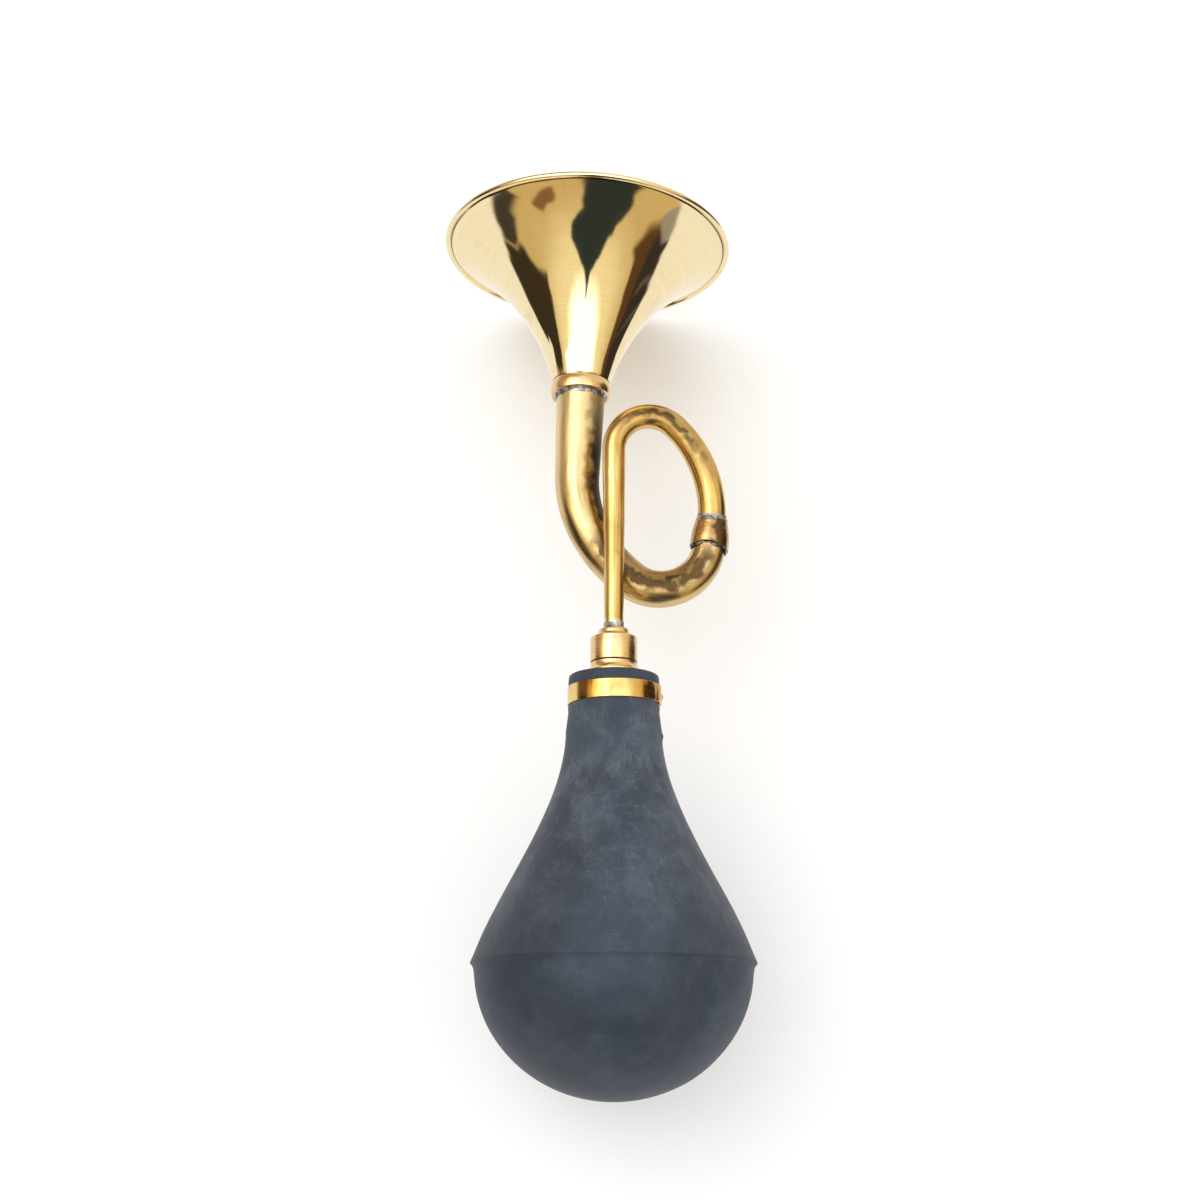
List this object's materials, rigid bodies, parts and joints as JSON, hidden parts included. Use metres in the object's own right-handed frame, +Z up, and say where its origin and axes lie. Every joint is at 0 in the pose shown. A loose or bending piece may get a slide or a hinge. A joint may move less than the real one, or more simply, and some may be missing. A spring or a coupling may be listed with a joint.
{
  "type": "bulb horn",
  "caption": "Brass hand horn with a flared bell, a looped tapered tube and a squeezable rubber bulb on a screwed union, lying on its side.",
  "frame": {"origin": "centre of the box's footprint on the surface that the horn lies on", "axes": "+Y towards the bell, +X to the right with the loop on that side, +Z up"},
  "size_m": [0.1188, 0.3378, 0.114],
  "materials": {
    "bell_brass": "hand-polished brass with brown tarnish",
    "tube_brass": "hand-polished brass with a brazed seam",
    "fitting_brass": "turned brass, worn",
    "band_brass": "rolled brass strip, scratched",
    "reed_brass": "plain brass",
    "wedge_wood": "bare hardwood",
    "wire_steel": "drawn wire",
    "solder": "dull soft solder",
    "washer_leather": "oiled leather, dark",
    "bulb_rubber": "matt slate rubber with a dusty bloom"
  },
  "bodies": {
    "horn": {"bell": "bell_brass", "rim_wire": "wire_steel", "throat_ring": "fitting_brass", "throat_solder": "solder", "bend_tube": "tube_brass", "loop_sleeve": "fitting_brass", "sleeve_solder_upper": "solder", "sleeve_solder_lower": "solder", "stem_tube": "tube_brass", "stem_solder": "solder", "reed_cap": "fitting_brass"},
    "washer": {"union_washer": "washer_leather"},
    "bulb_head": {"neck_plug": "fitting_brass", "reed_shallot": "reed_brass", "reed_wedge": "wedge_wood", "neck_band": "band_brass", "band_rivet": "band_brass", "bulb_front": "bulb_rubber"},
    "bulb_rear": {"bulb_rear": "bulb_rubber"},
    "reed_tongue": {"reed_tongue": "reed_brass"}
  },
  "joints": [
    {"name": "union_advance", "type": "slide", "parent": "horn", "child": "washer", "axis": [0, -0.9946, -0.1042], "range_m": [0, 0.0061]},
    {"name": "bulb_unscrew", "type": "hinge", "parent": "washer", "child": "bulb_head", "pos_m": [0.00829, -0.01234, 0.06116], "axis": [0, -0.9946, -0.1042], "range_deg": [0, 1440]},
    {"name": "bulb_squeeze", "type": "slide", "parent": "bulb_head", "child": "bulb_rear", "axis": [0, 0.9946, 0.1042], "range_m": [0, 0.026], "stiffness_N_per_m": 700, "deforming": ["bulb_front"]},
    {"name": "reed_flex", "type": "hinge", "parent": "bulb_head", "child": "reed_tongue", "pos_m": [0.00829, -0.02585, 0.06057], "axis": [1, 0, 0], "range_deg": [-1, 1.6], "stiffness_Nm_per_rad": 0.1}
  ],
  "couplings": [
    {"joint": "union_advance", "follows": "bulb_unscrew", "m_per_rad": 0.00023873}
  ]
}
